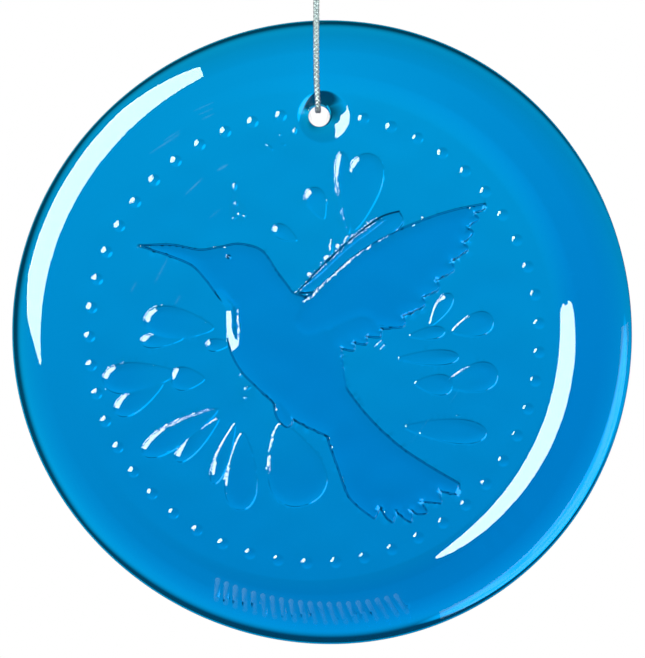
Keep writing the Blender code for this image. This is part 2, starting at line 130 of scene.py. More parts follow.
# The figure, in hundredths of the pearl ring's radius from the field's centre.
HEAD = [(-77, 40.3), (-62, 40.6), (-50, 38.4), (-41, 39.6), (-32, 41), (-22, 38), (-15.5, 29), (-8.5, 19.5)]
BACK = [(-8.5, 19.5), (4, 13), (12, -2), (14.9, -20), (17, -34), (18, -49)]
BELLY = [(18, -49), (7, -44.5), (-8, -37), (-22, -25), (-32, -14.5), (-37, -3), (-38, 12)]
THROAT = [(-38, 12), (-43, 19.5), (-47.5, 25.5), (-53, 31.2), (-62, 35.2), (-76.7, 40.1)]
FOOT = [(-17, -29), (-15.5, -36), (-11.5, -40.5), (-8.5, -39), (-9, -34), (-13, -28)]
FAR_WING_TOP = [(-6.5, 19), (4, 30.5), (18, 43.5), (30, 52.5), (39, 55.5)]
FAR_WING_FOOT = [(39, 55.5), (40, 49), (26, 38), (10, 22), (-6.5, 19)]
FAR_WING_BONE = [(34, 52), (26, 46), (14, 36.5), (4, 27), (-6.5, 19)]
WING_TOP = [(-6, 14), (6, 24.5), (17, 34.5), (31, 43.5), (48, 51), (63, 56), (78, 59)]
WING_TIPS = [(77, 56.5), (73, 49), (69.5, 38.5), (62, 27.5), (52.5, 16), (40.5, 4)]
WING_ROOT = [(40.5, 4), (36, 3.6), (29, 4.9), (22.4, 7.9), (10, 3), (-2, -1), (-9.3, 5.5), (-6, 14)]
INNER_TIPS = [(37, 4), (34, 1.5), (28.3, -1.7), (21.6, -5.2), (13, -9.2)]
INNER_ROOT = [(13, -9.2), (6, -3), (8, 8), (25, 12), (37, 4)]
TAIL_TOP = [(12, -12), (15, -22), (25, -35.5), (38, -48), (52, -57.5), (66.5, -66)]
TAIL_TIPS = [(65.5, -70.5), (54.6, -76), (48, -81.5), (42, -83), (34.5, -82.7), (27.5, -81)]
TAIL_FOOT = [(27.5, -81), (17, -72), (11.5, -58), (7, -45), (4, -30), (12, -12)]
EYE = (-36.7, 35.2)
# Where each feather ends along its run, how deep the notch behind it is, and where the notch lies in it.
WING_FEATHERS = (0.0, 0.09, 0.19, 0.31, 0.49, 0.65, 0.8, 1.0)
INNER_FEATHERS = (0.0, 0.3, 0.55, 0.78, 1.0)
TAIL_FEATHERS = (0.0, 0.22, 0.4, 0.6, 0.8, 1.0)
WING_NOTCH = (3.4, 0.72)
TAIL_NOTCH = (5.5, 0.8)
# How deep a feather's end is cut, as a share of its notch, on the way to the notch and on from it.
TO_NOTCH = ((0.0, 0.0), (0.25, 0.2), (0.5, 0.42), (0.75, 0.7), (1.0, 1.0))
FROM_NOTCH = ((0.125, 0.6), (0.25, 0.35), (0.4, 0.16), (0.6, 0.04), (0.8, 0.0))
# The chest has a flat bevel: its middle, how far it reaches along the edge, and how steep and wide it is.
CHEST = (-38.0, 7.5)
BEVEL_REACH = 7.5 * MM
BEVEL_GRADE = 0.2
BEVEL_WIDTH = 1.9 * MM

# A petal's width grows from this share at its foot, and by this much towards its far end.
PETAL_FOOT_SHARE = 0.4
PETAL_SWELL = 0.7
# Each petal of a spray: its foot, its angle, its length and its width, in the figure's hundredths.
LEFT_SPRAY = [(-43.5, 3.5, 173, 31, 18), (-57, -1, 185, 19, 8), (-36, -3.3, 186, 11, 7),
              (-60, -16.5, 186, 33, 17), (-66, -21, 212, 25, 12), (-47.5, -19, 180, 15, 13),
              (-41.5, -32.5, 211, 39, 13.5), (-41, -36.5, 225, 27, 9), (-34, -39, 250, 28.5, 8),
              (-30.5, -43, 268, 34.5, 18), (-14, -39, 288, 38, 32)]
RIGHT_SPRAY = [(43.5, 0, 8, 16, 7), (52.8, 4.5, 57, 17, 8), (62.6, 1.8, 17, 19, 13),
               (38.5, -10, 1.5, 27, 8.5), (46, -21, -3.5, 17, 11.5), (59.5, -22, 14, 24, 16),
               (67.5, -24, 19, 13.5, 6), (41.5, -40.5, -4.5, 36.5, 13.5)]
TOP_SPRAY = [(5.5, 52, 113, 15, 11), (16.5, 45.5, 95, 36.5, 9), (18.5, 47, 77, 35, 20),
             (-6.5, 42.5, 150, 12, 8)]

# Small marks of the mould and the tool, and faint streaks, judged on enlargements of the photograph:
# each one's middle, angle, length and width, in its pixels. The field's centre lies at this pixel, and a
# pixel is this wide.
FIELD_PIXEL = (311.5, 336.0)
PIXEL = 0.2442 * MM
MARKS = [
    (269.9, 147.9, -45, 9, 4), (280, 135, 0, 3.5, 3), (283, 145, 0, 6, 2.6), (295, 131, 80, 8, 4.5),
    (235, 186.5, 80, 9, 5), (236.3, 204.2, 0, 4.5, 4), (234.4, 218.2, 20, 5, 3), (239.2, 214.4, 60, 4.5, 3),
    (244.9, 216, 60, 5, 3), (312.6, 188.7, 0, 5, 3), (326.5, 202.3, 90, 6, 3), (331.3, 247.3, 88, 17, 4),
    (322, 263, 40, 5, 3.5), (346.5, 239.5, 60, 11, 4), (227.2, 256.8, 30, 8, 2.4), (203, 262.5, 20, 5, 2.4),
    (208.8, 260.6, 45, 4.5, 2.4), (214.5, 272, 45, 3.5, 2.6), (284.7, 302.7, 70, 10, 3.6),
    (290.4, 320, 88, 14, 5), (301.2, 330.5, -35, 9, 3), (241.4, 316.9, 85, 14, 4.5),
    (246.1, 325.8, -30, 7, 3), (296.7, 393.8, 70, 10, 5), (247.7, 388, 25, 9, 3.6), (245.8, 397.6, 40, 5, 3),
    (241, 375.4, 70, 4.5, 3), (240.4, 447.6, 90, 5, 3), (231.8, 460, 88, 7, 3.5), (252.7, 489.4, 88, 6, 4),
    (155, 327, 40, 13, 4), (165, 336.5, 30, 13, 3.6), (160.6, 311.5, 30, 9, 5), (174.9, 373.5, 0, 7, 2.8),
    (202.4, 415, 33, 20, 3.6), (179.6, 457.7, 60, 8, 4.5), (379, 343.6, 40, 11, 3), (383, 347, 40, 9, 2.6),
    (468.3, 384.1, 40, 10, 3.6), (467, 441, 60, 4, 3), (457.5, 415.8, 0, 4, 3), (403.4, 358.8, 20, 11, 4.5),
    (421.8, 380, 35, 8, 3.6),
]
# How steep a mark's side is.
MARK_GRADE = 0.22
STREAKS = [
    (165, 144, 33, 36, 1.8), (194, 187, 44, 24, 2.4), (222.5, 168, 30, 13, 3.2), (204, 107, 24, 22, 1.6),
    (206, 112, 24, 16, 1.6), (208, 117, 24, 14, 1.6), (162, 270, 62, 27, 1.8), (134, 287, 62, 12, 1.6),
    (172, 136, 33, 20, 1.3), (215, 214, 40, 14, 1.3), (178, 300, 60, 10, 1.2), (420, 430, 52, 30, 1.2),
    (455, 395, 60, 18, 1.2),
]
# How frosted the faces of the strokes and the streaks are.
STROKE_FROST = 0.34
STREAK_FROST = 0.26
FROST_FADE = 0.5 * MM

# How finely round shapes are cut into flats, and where rings of points lie across each form.
OUTLINE_POINTS = 384
BORE_POINTS = 72
PETAL_POINTS = 44
DOME_POINTS = 20
OVAL_POINTS = 16
ARC_STEPS = 8
BODY_STEPS = 9
WING_STEPS = 12
WING_ROOT_STEPS = 7
FOOT_STEPS = 4
CORD_STEPS = 4
KNOT_STEPS = 6
CLIMB_PLACES = 401
ROLL_RINGS = (0.002, 0.006, 0.013, 0.024, 0.04, 0.06, 0.09, 0.125, 0.17, 0.225, 0.29, 0.37, 0.46, 0.56,
              0.66, 0.76, 0.84, 0.9, 0.94, 0.965, 0.985, 1.0)
SLOPE_RINGS = (0.0, 0.03, 0.07, 0.12, 0.18, 0.25, 0.33, 0.42, 0.51, 0.6, 0.69, 0.77, 0.84, 0.9, 0.95,
               0.98, 1.0)
FUNNEL_RINGS = (0.02, 0.06, 0.12, 0.2, 0.3, 0.42, 0.56, 0.72, 0.88, 1.0, 1.04)
SHOULDER_RINGS = (-0.58, -0.48, -0.37, -0.25, -0.12, 0.12, 0.25, 0.37, 0.48, 0.58)
PILLOW_RINGS = (0.22, 0.36, 0.52, 0.7, 0.9)
DOME_RINGS = (-0.06, 0.12, 0.3, 0.5, 0.75)
FIELD_SPACING = 1.6 * MM
# A ring's point is kept where it is at least this share of its inset away from the outline.
RING_SHARE = 0.9
# How far from the hole the slope's rings and the field's points keep, in funnel widths and in bore radii.
SLOPE_CLEARANCE = 1.05
FIELD_CLEARANCE = 3
# Points of a plan closer than this, in millimetres, are one.
MERGE_DISTANCE = 0.01
# This keeps a share from being divided by nothing.
HARDLY_ANY = 1e-9

# The cord's route in millimetres: down in front of the glass, through the hole and up behind it.
CORD_ROUTE = [
    (0.0, -0.95, 0.0), (0.0, -1.5, -3.5), (0.0, -2.5, -8.0), (0.0, -3.6, -13.0), (0.0, -4.5, -17.5),
    (0.0, -4.95, -21.5), (0.05, -4.95, -25.0), (0.15, -4.5, -28.2), (0.3, -3.5, -30.9), (0.4, -1.9, -32.9),
    (0.4, 0.2, -33.75), (0.4, 2.2, -33.75), (0.35, 4.0, -32.8), (0.25, 5.0, -30.9), (0.1, 5.15, -28.0),
    (0.0, 5.05, -23.5), (0.0, 5.0, -18.5), (0.0, 4.7, -13.5), (0.0, 3.5, -8.5), (0.0, 1.9, -3.8),
    (0.0, 0.95, 0.0),
]
# The plait: three strands that weave from side to side, one full turn of the pattern each pitch.
STRAND_COUNT = 3
STRAND_RADIUS = 0.36 * MM
PLAIT_WIDTH = 0.39 * MM
PLAIT_DEPTH = 0.22 * MM
PLAIT_PITCH = 3.3 * MM
STRAND_SIDES = 10
STEPS_PER_PITCH = 22
# The overhand knot, in millimetres: both ends rise through its middle, wrap round it once, and tuck up
# through the wrap. The wrap has its first and last angle in degrees, and its first and last height.
KNOT_RISE = [(0.0, 0.0, 0.2), (0.1, 0.0, 1.4), (0.15, 0.1, 2.8), (0.4, 0.3, 4.2), (1.2, 0.7, 5.2)]
KNOT_WRAP_RADIUS = 1.75
KNOT_WRAP = (40, 410, 5.1, 1.9)
KNOT_WRAP_STEPS = 13
KNOT_TUCK = [(0.5, 1.0, 1.9), (0.1, 0.75, 3.4), (0.0, 0.6, 5.0), (0.2, 0.4, 6.6), (0.7, 0.2, 9.2),
             (1.4, 0.1, 12.3)]
# How far the two ends keep apart: in height, at the foot of the rise, and beside the tuck's first points.
KNOT_LIFT = 0.72
KNOT_TUCK_LIFT = 0.3
KNOT_RISE_APART = 0.95
KNOT_TUCK_APART = 0.5
KNOT_TUCK_FIRST = 3

# The glass: its index of refraction, and its absorption, which for each colour is the density, per metre,
# times one minus the colour's value.
GLASS_IOR = 1.52
GLASS_TINT = (0.0, 0.876, 0.981, 1.0)
GLASS_DENSITY = 1200.0
# The thread: how metallic and how rough it is, and its dark and its light grey.
THREAD_METALLIC = 0.8
THREAD_ROUGHNESS = 0.32
THREAD_DARK = "A9AEBA"
THREAD_LIGHT = "F4F6FA"
# Its filaments: how their pattern is stretched round and along a strand, how it slants and wavers, and how
# strong and how high its relief is.
FILAMENT_STRETCH = (6.0, 5.0, 1.0)
FILAMENT_SLANT = 0.5
FILAMENT_WAVER = 0.6
FILAMENT_BUMP = 0.6
FILAMENT_RELIEF = 0.05 * MM

# The camera looks straight at the front from far away.
LENS = 250.0
SENSOR = 36.0
CLIP_END = 100.0
VIEW_HEIGHT = 160.7 * MM
VIEW_CENTRE = Vector((1.51 * MM, -0.09 * MM, -87.17 * MM))

# Two lit panels stand in front, in a plane this far from the disc: a big softbox with cut corners at the
# upper left, and a dim, patchy card at the lower right. Their corners are shares of that distance, out and
# across.
PANEL_DISTANCE = 1.0
SOFTBOX_AZIMUTH = 149.0
SOFTBOX_CORNERS = [(0.265, -0.178), (0.48, -0.32), (0.62, -0.331), (0.95, -0.31),
                   (0.95, 0.31), (0.62, 0.308), (0.3, 0.208), (0.265, 0.17)]
SOFTBOX_GLOW = 21.0
CARD_AZIMUTH = -33.0
CARD_CORNERS = [(0.78, -0.56), (6.0, -4.3), (6.0, 4.3), (0.78, 0.56)]
CARD_GLOW = 1.6
PANEL_COLOUR = (0.8, 1.0, 0.88, 1.0)
# The card's patches are about 0.3 m across. Its noise is dark up to the first edge and bright from the
# second, and the dark has this share of the glow.
PATCHES_SCALE = 3.2
PATCHES_DETAIL = 3.0
PATCHES_ROUGHNESS = 0.6
PATCHES_EDGES = (0.38, 0.56)
PATCHES_DARKEST = 0.15
# The backdrop, as the glass shows it, darkens away from straight behind. Height above, height below and
# distance to the right count by these factors, and the dark starts and ends at these angles.
BACKDROP_ABOVE = 1.5
BACKDROP_BELOW = -1.2
BACKDROP_RIGHT = 1.25
DARK_FROM = math.radians(10)
DARK_TO = math.radians(24)
DARKENING = 0.86
# The dark fades out sideways, where the direction's share of straight behind falls from one to the other.
BEHIND_WHOLE = 0.84
BEHIND_NONE = 0.7
# Low parts are dimmer than high ones, from this far below straight behind to as far above it.
FALL_REACH = 0.08
FALL_LOW = 0.65
FALL_HIGH = 0.88
# What the backdrop gives to matt surfaces.
BACKDROP_FILL = 0.8
# A bright patch of the backdrop, behind the disc at the upper left. Its edge is soft between these angles.
PATCH_HEADING = Vector((-0.22, 0.96, 0.145)).normalized()
PATCH_GLOW = 1.5
PATCH_INNER = math.radians(8)
PATCH_OUTER = math.radians(11)
FLOOR_RADIUS = 12.0
FLOOR_LEVEL = -1.3
FLOOR_SIDES = 128
FLOOR_COLOUR = "F2F2F2"
FLOOR_ROUGHNESS = 0.9


def turned(distance, angle):
    """The point at this distance and angle from the zero point."""
    return Vector((distance * math.cos(angle), distance * math.sin(angle)))


FIELD_RADIUS = DISC_RADIUS - RIM_WIDTH
PEARL_RING = FIELD_RADIUS - PEARL_INSET
DISC_CENTRE = Vector((DISC_ASIDE, -DISC_DROP - DISC_RADIUS))
FIELD_CENTRE = DISC_CENTRE + Vector((FIELD_ASIDE, FIELD_ABOVE))
HOLE_CENTRE = FIELD_CENTRE + turned(PEARL_RING - HOLE_INSET, HOLE_ANGLE)
CREASE_CENTRE = DISC_CENTRE + CREASE_ASIDE
MOUTH_CENTRE = HOLE_CENTRE + FUNNEL_ASIDE
BACK_Y = RIM_THICKNESS / 2


def srgb(code):
    """A hex colour as linear red, green, blue and full opacity."""
    channels = [int(code[place:place + 2], 16) / 255 for place in (0, 2, 4)]
    linear = [value / 12.92 if value <= 0.04045 else ((value + 0.055) / 1.055) ** 2.4 for value in channels]
    return (*linear, 1.0)


def node(tree, kind, settings=None, inputs=None, links=None):
    """A new node of a tree, with its settings, its plain input values and the outputs linked to it."""
    made = tree.nodes.new(kind)
    for name, value in (settings or {}).items():
        setattr(made, name, value)
    for name, value in (inputs or {}).items():
        made.inputs[name].default_value = value
    for name, output in (links or {}).items():
        tree.links.new(output, made.inputs[name])
    return made


def smooth_run(points, steps):
    """Points along a smooth curve through the given ones, without the last."""
    points = [Vector(point).to_3d() for point in points]
    run = []
    for index in range(len(points) - 1):
        start, end = points[index], points[index + 1]
        before = points[max(0, index - 1)]
        after = points[min(len(points) - 1, index + 2)]
        leave = start + (end - before) / 6
        arrive = end - (after - start) / 6
        run += interpolate_bezier(start, leave, arrive, end, steps + 1)[:-1]
    return run


def ring(centre, radius, count, start=0.0):
    """Points of a circle, anticlockwise."""
    return [centre + turned(radius, start + 2 * math.pi * step / count) for step in range(count)]


def outline_radius(angle):
    """The disc's radius at this angle, or at each angle of an array."""
    oval = OVAL_DEPTH * np.cos(2 * (angle - OVAL_ANGLE))
    return DISC_RADIUS + oval + LOBE_DEPTH * np.cos(3 * (angle - LOBE_ANGLE))


def outline(inset):
    """Points of the disc's outline, moved in by the inset."""
    angles = [2 * math.pi * step / OUTLINE_POINTS for step in range(OUTLINE_POINTS)]
    return [DISC_CENTRE + turned(outline_radius(angle) - inset, angle) for angle in angles]


def on_field(points):
    """Points of the figure, moved from its hundredths to their places on the field."""
    return [FIELD_CENTRE + Vector(point[:2]) * PEARL_RING / 100 for point in points]


def feathered(tips, feathers, notch):
    """A run of overlapping feather ends along the curve through the tips, without its last point.

    The notch behind each tip has a depth, and a place between this tip and the next.
    """
    depth, place = notch
    profile = [(place * along, cut) for along, cut in TO_NOTCH]
    profile += [(place + (1 - place) * along, cut) for along, cut in FROM_NOTCH]
    curve = smooth_run(tips, WING_STEPS) + [Vector(tips[-1]).to_3d()]
    reached = [0.0]
    for start, end in zip(curve, curve[1:]):
        reached.append(reached[-1] + (end - start).length)
    run = []
    for begin, finish in zip(feathers, feathers[1:]):
        for along, cut in profile:
            at = (begin + (finish - begin) * along) * reached[-1]
            after = next(index for index, reach in enumerate(reached) if reach > at)
            share = (at - reached[after - 1]) / (reached[after] - reached[after - 1])
            heading = (curve[after] - curve[after - 1]).normalized()
            inward = Vector((heading.y, -heading.x, 0.0))
            run.append(curve[after - 1].lerp(curve[after], share) + inward * depth * cut)
    return run


def petal(foot_x, foot_z, angle, length, width):
    """A leaf that is narrow at its foot and round at its far end."""
    along = turned(1, math.radians(angle))
    across = Vector((-along.y, along.x))
    edge = []
    for step in range(PETAL_POINTS):
        turn = 2 * math.pi * step / PETAL_POINTS
        reach = (1 - math.cos(turn)) / 2
        half = width / 2 * math.sin(turn) * (PETAL_FOOT_SHARE + PETAL_SWELL * reach)
        edge.append(Vector((foot_x, foot_z)) + along * length * reach + across * half)
    return edge


def stroke(angle):
    """A short leaning bar with round ends on the rim."""
    along = angle + STROKE_LEAN
    centre = DISC_CENTRE + turned(outline_radius(angle) - STROKE_INSET, angle)
    half = (STROKE_LENGTH - STROKE_WIDTH) / 2
    edge = []
    for side in (1, -1):
        end = centre + turned(half * side, along)
        for swing in STROKE_END:
            edge.append(end + turned(STROKE_WIDTH / 2 * side, along + math.radians(swing)))
    return edge


def oval(right, down, angle, length, width):
    """A slender oval on the field, placed and sized in the photograph's pixels."""
    along = turned(PIXEL, math.radians(angle))
    across = Vector((-along.y, along.x))
    middle = FIELD_CENTRE + Vector((right - FIELD_PIXEL[0], FIELD_PIXEL[1] - down)) * PIXEL
    edge = []
    for step in range(OVAL_POINTS):
        turn = 2 * math.pi * step / OVAL_POINTS
        edge.append(middle + along * math.cos(turn) * length / 2 + across * math.sin(turn) * width / 2)
    return edge


class Pad:
    """A raised patch of relief inside an outline: a step with a pillow inside it, or with no step a dome.

    A pillow that grows has the point it grows from, and the distance at which it has its whole height.
    A pad with a bevel has the bevel's middle.
    """

    def __init__(self, edge, height, shoulder, step=0.0, pillow=0.0, grows=None):
        self.edge = [point.to_2d() for point in edge]
        self.height = height
        self.shoulder = shoulder
        self.step = step
        self.pillow = pillow
        self.grows = grows
        self.bevel_at = None
        self.rings = [share * shoulder for share in (SHOULDER_RINGS if step else DOME_RINGS)]
        self.rings += [share * pillow for share in PILLOW_RINGS if pillow]

    def near(self, points):
        """Which of the points lie in the pad's box."""
        corners = np.array(self.edge)
        low, high = corners.min(axis=0) - self.shoulder, corners.max(axis=0) + self.shoulder
        return np.flatnonzero(((points >= low) & (points <= high)).all(axis=1))

    def depth(self, points):
        """How far inside the outline each point lies, or how far outside as a negative number."""
        corners = np.array(self.edge)
        ends = np.roll(corners, -1, axis=0)
        spans = ends - corners
        offsets = points[:, None, :] - corners[None, :, :]
        share = np.clip((offsets * spans).sum(axis=2) / (spans ** 2).sum(axis=1), 0.0, 1.0)
        distance = np.linalg.norm(offsets - share[:, :, None] * spans, axis=2).min(axis=1)
        crosses = (corners[:, 1] > points[:, None, 1]) != (ends[:, 1] > points[:, None, 1])
        rise = np.where(spans[:, 1] == 0.0, 1.0, spans[:, 1])
        cut = corners[:, 0] + offsets[:, :, 1] * spans[:, 0] / rise
        inside = (crosses & (points[:, None, 0] < cut)).sum(axis=1) % 2 == 1
        return np.where(inside, distance, -distance)

    def rise(self, points):
        """How far each point stands over the ground of the relief."""
        depth = self.depth(points)
        share = np.clip(depth / self.shoulder + 0.5, 0.0, 1.0)
        step = share ** 2 * (3.0 - 2.0 * share)
        swell = 1.0 - (1.0 - np.clip(depth / (self.pillow or self.shoulder), 0.0, 1.0)) ** 2
        if self.grows:
            foot, reach = self.grows
            swell *= np.clip(np.hypot(*(points - np.array(foot)).T) / reach, 0.0, 1.0) ** 2
        rise = self.height * (self.step * step + (1.0 - self.step) * swell)
        if self.bevel_at:
            apart = np.hypot(*(points - np.array(self.bevel_at)).T)
            face = BEVEL_GRADE * np.clip(depth, 0.0, None)
            back = np.clip((depth - BEVEL_WIDTH) / self.shoulder, 0.0, 1.0)
            cut = np.minimum(rise, face + (rise - face) * back)
            rise += (cut - rise) * np.clip(2.0 * (1.0 - apart / BEVEL_REACH), 0.0, 1.0)
        return rise

    def moved(self, inset):
        """The outline's points moved inward, where the pad is wide enough for them."""
        corners = np.array(self.edge)
        along = np.roll(corners, -1, axis=0) - np.roll(corners, 1, axis=0)
        inward = np.stack([-along[:, 1], along[:, 0]], axis=1) / np.linalg.norm(along, axis=1)[:, None]
        after = np.roll(corners, -1, axis=0)
        area = (corners[:, 0] * after[:, 1] - after[:, 0] * corners[:, 1]).sum()
        places = corners + inward * inset * np.sign(area)
        return places[np.abs(self.depth(places)) > RING_SHARE * abs(inset)]


def bird():
    """The pads of the hummingbird."""
    body = []
    for run in (HEAD, BACK, BELLY, THROAT):
        body += smooth_run(run, BODY_STEPS)
    body.append(Vector(THROAT[-1]).to_3d())
    foot = smooth_run(FOOT + FOOT[:1], FOOT_STEPS)
    far_wing = smooth_run(FAR_WING_TOP, BODY_STEPS) + smooth_run(FAR_WING_FOOT, BODY_STEPS)
    far_bone = smooth_run(FAR_WING_TOP[:-1], BODY_STEPS) + smooth_run(FAR_WING_BONE, BODY_STEPS)
    wing_tips = feathered(WING_TIPS, WING_FEATHERS, WING_NOTCH)
    near_wing = smooth_run(WING_TOP, WING_STEPS) + wing_tips + smooth_run(WING_ROOT, WING_ROOT_STEPS)
    inner_tips = feathered(INNER_TIPS, INNER_FEATHERS, WING_NOTCH)
    inner_wing = inner_tips + smooth_run(INNER_ROOT, WING_ROOT_STEPS)
    tail_tips = feathered(TAIL_TIPS, TAIL_FEATHERS, TAIL_NOTCH)
    tail = smooth_run(TAIL_TOP, WING_STEPS) + tail_tips + smooth_run(TAIL_FOOT, BODY_STEPS)
    figure = [(body, BODY_HEIGHT), (foot, BODY_HEIGHT), (far_wing, FAR_WING_HEIGHT),
              (far_bone, FAR_WING_BONE_HEIGHT), (near_wing, NEAR_WING_HEIGHT), (inner_wing, BODY_HEIGHT),
              (tail, BODY_HEIGHT)]
    pads = []
    for edge, height in figure:
        pads.append(Pad(on_field(edge), height, SHOULDER_WIDTH, STEP_SHARE, PILLOW_WIDTH))
    pads[0].bevel_at = on_field([CHEST])[0].to_2d()
    pads.append(Pad(ring(on_field([EYE])[0], EYE_RADIUS, DOME_POINTS), EYE_HEIGHT, EYE_RADIUS))
    return pads


def petals():
    """The pads of the three sprays of petals round the bird."""
    pads = []
    for leaf in LEFT_SPRAY + RIGHT_SPRAY + TOP_SPRAY:
        reach = leaf[3] * PEARL_RING / 100 * PETAL_GROWTH
        pads.append(Pad(on_field(petal(*leaf)), PETAL_HEIGHT, PETAL_SHOULDER, PETAL_STEP_SHARE, PETAL_PILLOW,
                        (on_field([leaf[:2]])[0], reach)))
    return pads


def pearls():
    """The ring of small domes, evenly spaced from one side of the hole round to the other."""
    pitch = (2 * math.pi - PEARL_SPACE_AT_HOLE) / (PEARL_COUNT - 1)
    pads = []
    for index in range(PEARL_COUNT):
        angle = HOLE_ANGLE + PEARL_SPACE_AT_HOLE / 2 + pitch * index
        centre = FIELD_CENTRE + PEARL_ASIDE + turned(PEARL_RING, angle)
        pads.append(Pad(ring(centre, PEARL_RADIUS, DOME_POINTS, angle), PEARL_HEIGHT, PEARL_RADIUS))
    return pads


def strokes():
    """The row of bars at the foot of the rim, all leaning one way."""
    pads = []
    for index in range(STROKE_COUNT):
        share = index / (STROKE_COUNT - 1)
        angle = STROKE_ARC_START + (STROKE_ARC_END - STROKE_ARC_START) * share
        pads.append(Pad(stroke(angle), STROKE_HEIGHT, STROKE_WIDTH / 2))
    return pads


def small_marks():
    """The pads of the small marks: low domes."""
    pads = []
    for mark in MARKS:
        half = mark[4] / 2 * PIXEL
        pads.append(Pad(oval(*mark), half * MARK_GRADE, half))
    return pads


def streaks():
    """The pads of the streaks, which are level with the glass round them."""
    return [Pad(oval(*streak), 0.0, FROST_FADE) for streak in STREAKS]


def frosting(points, pads, level):
    """How frosted the glass is at each point, by patches with soft edges."""
    frost = np.zeros(len(points))
    for pad in pads:
        near = pad.near(points)
        share = np.clip(pad.depth(points[near]) / FROST_FADE + 0.5, 0.0, 1.0)
        frost[near] = np.maximum(frost[near], level * share)
    return frost


def waviness(points):
    """The slight unevenness of the cast surface at each point."""
    chance = np.random.default_rng(WAVE_SEED)
    height = np.zeros(len(points))
    for _ in range(WAVE_COUNT):
        heading, start = chance.uniform(0.0, 2 * math.pi, 2)
        length = chance.uniform(*WAVE_LENGTHS)
        along = points @ np.array(turned(1.0, heading))
        height += length * np.sin(2 * math.pi * along / length + start)
    up_slope = (np.hypot(*(points - np.array(FIELD_CENTRE)).T) - PEARL_RING) / (FIELD_RADIUS - PEARL_RING)
    fade = 1.0 - (1.0 - RIM_WAVE_SHARE) * np.clip(up_slope, 0.0, 1.0)
    return fade * height * WAVE_GRADE / (2 * math.pi * math.sqrt(WAVE_COUNT / 2))


def climb(share):
    """How much of a slope is climbed at each share of its width: it is even, with soft ends."""
    places = np.linspace(0.0, 1.0, CLIMB_PLACES)
    steep = np.sin(np.pi * places ** SLOPE_SHAPE).clip(0.0) ** SLOPE_SHARPNESS
    climbed = np.concatenate([[0.0], np.cumsum((steep[1:] + steep[:-1]) / 2)]) / (len(places) - 1)
    return np.interp(share, places, climbed)


def glass_height(points, pads):
    """The height of the glass over its flat back at each point of the front."""
    from_centre = points - np.array(DISC_CENTRE)
    angle = np.arctan2(from_centre[:, 1], from_centre[:, 0])
    out = np.hypot(from_centre[:, 0], from_centre[:, 1])
    rolled = np.clip(1.0 - (outline_radius(angle) - out) / ROLL_WIDTH, 0.0, 1.0)
    whole_roll = RIM_THICKNESS - BACK_EDGE_RADIUS
    roll = whole_roll * (1.0 - (1.0 - rolled ** ROLL_SHAPE) ** (1 / EDGE_SHAPE))
    heading = np.stack([np.cos(angle), np.sin(angle)], axis=1)
    foot = FIELD_RADIUS + heading @ np.array(FIELD_CENTRE - DISC_CENTRE)
    width = CREASE_RADIUS + heading @ np.array(CREASE_ASIDE) - foot
    grade = SLOPE_GRADE * ((1.0 + np.cos(angle - STEEPEST_ANGLE)) / 2) ** SLOPE_FADE
    slope = grade * width * climb(np.clip((out - foot) / width, 0.0, 1.0))
    from_hole = points - np.array(HOLE_CENTRE)
    from_bore = np.clip(np.hypot(*from_hole.T) - BORE_RADIUS, 0.0, None)
    mouth_radius = BORE_RADIUS + FUNNEL_WIDTH
    in_mouth = np.clip(mouth_radius - np.hypot(*(points - np.array(MOUTH_CENTRE)).T), 0.0, None)
    into_funnel = in_mouth / (in_mouth + from_bore + HARDLY_ANY)
    steeper = np.cos(np.arctan2(from_hole[:, 1], from_hole[:, 0]) - FUNNEL_ANGLE)
    funnel = (FUNNEL_DEPTH + FUNNEL_SWING * steeper) * into_funnel ** FUNNEL_SHAPE
    relief = np.zeros(len(points))
    for pad in pads:
        near = pad.near(points)
        relief[near] = np.maximum(relief[near], pad.rise(points[near]))
    lean = THICKNESS_LEAN / 2 * from_centre[:, 1] / DISC_RADIUS * (1.0 - roll / whole_roll)
    return RIM_THICKNESS - FIELD_DEPTH + slope - roll - funnel + relief + waviness(points) - lean


def outside(points, centre, radius):
    """Those of the points that lie farther than this from the centre."""
    return [point for point in points if (point - centre).length > radius]


def closed_lines(first, count):
    """The lines of a closed loop whose points follow each other from the first."""
    return [(first + index, first + (index + 1) % count) for index in range(count)]


def two_loops(edge, bore):
    """A plan of the disc between its edge and its bore."""
    return edge + bore, closed_lines(0, len(edge)) + closed_lines(len(edge), len(bore))


def front_plan(pads):
    """Points and lines of the front, laid out flat: the edge and the bore come first."""
    points, lines = two_loops(outline(0.0), ring(HOLE_CENTRE, BORE_RADIUS, BORE_POINTS))
    for share in ROLL_RINGS:
        points += outline(share * ROLL_WIDTH)
    for share in SLOPE_RINGS:
        centre = FIELD_CENTRE.lerp(CREASE_CENTRE, share)
        slope = ring(centre, FIELD_RADIUS + share * (CREASE_RADIUS - FIELD_RADIUS), OUTLINE_POINTS)
        points += outside(slope, MOUTH_CENTRE, BORE_RADIUS + FUNNEL_WIDTH * SLOPE_CLEARANCE)
    for share in FUNNEL_RINGS:
        centre = HOLE_CENTRE.lerp(MOUTH_CENTRE, share)
        points += ring(centre, BORE_RADIUS + share * FUNNEL_WIDTH, BORE_POINTS)
    steps = math.ceil(CREASE_RADIUS / FIELD_SPACING)
    for across in range(-steps, steps + 1):
        for up in range(-steps, steps + 1):
            spot = DISC_CENTRE + Vector((across + up % 2 / 2, up * math.sqrt(0.75))) * FIELD_SPACING
            from_mouth = (spot - MOUTH_CENTRE).length
            if (spot - DISC_CENTRE).length < CREASE_RADIUS and from_mouth > BORE_RADIUS * FIELD_CLEARANCE:
                points.append(spot)
    for pad in pads:
        lines += closed_lines(len(points), len(pad.edge))
        points += pad.edge
        for inset in pad.rings:
            points += [Vector(place) for place in pad.moved(inset)]
    return points, lines


